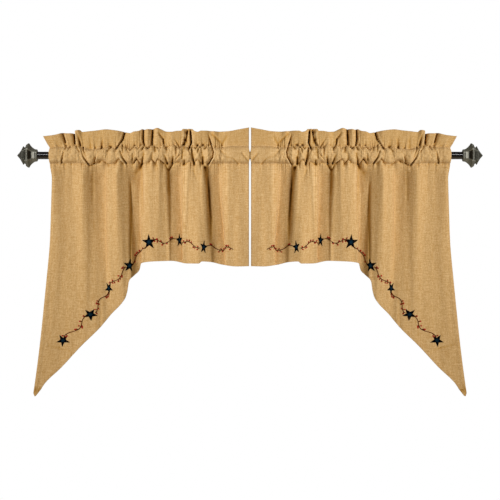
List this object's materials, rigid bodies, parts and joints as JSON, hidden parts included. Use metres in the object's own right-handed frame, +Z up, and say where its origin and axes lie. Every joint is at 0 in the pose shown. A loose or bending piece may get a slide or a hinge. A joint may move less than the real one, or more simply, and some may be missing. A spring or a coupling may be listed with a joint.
{
  "type": "pair of swag and tail drapes on a curtain rod",
  "caption": "Pair of gathered burlap swag drapes with slanted tails and star-and-berry embroidery, hung by rod pockets on a straight dark rod with six-sided finials.",
  "frame": {"origin": "on the curtain rod's axis, midway between its ends, where the wall brackets hold the rod", "axes": "+X along the rod to the right, -Y out of the window wall into the room, +Z up"},
  "size_m": [1.58, 0.0728, 0.9113],
  "materials": {
    "swag_cloth": "natural burlap-weave cotton, unlined, matt",
    "rod_paint": "dark bronze paint, satin",
    "finial_metal": "antique pewter over a casting, satin"
  },
  "bodies": {
    "root": {"left_swag": "swag_cloth", "right_swag": "swag_cloth", "rod": "rod_paint", "left_finial": "finial_metal", "right_finial": "finial_metal"}
  },
  "joints": []
}
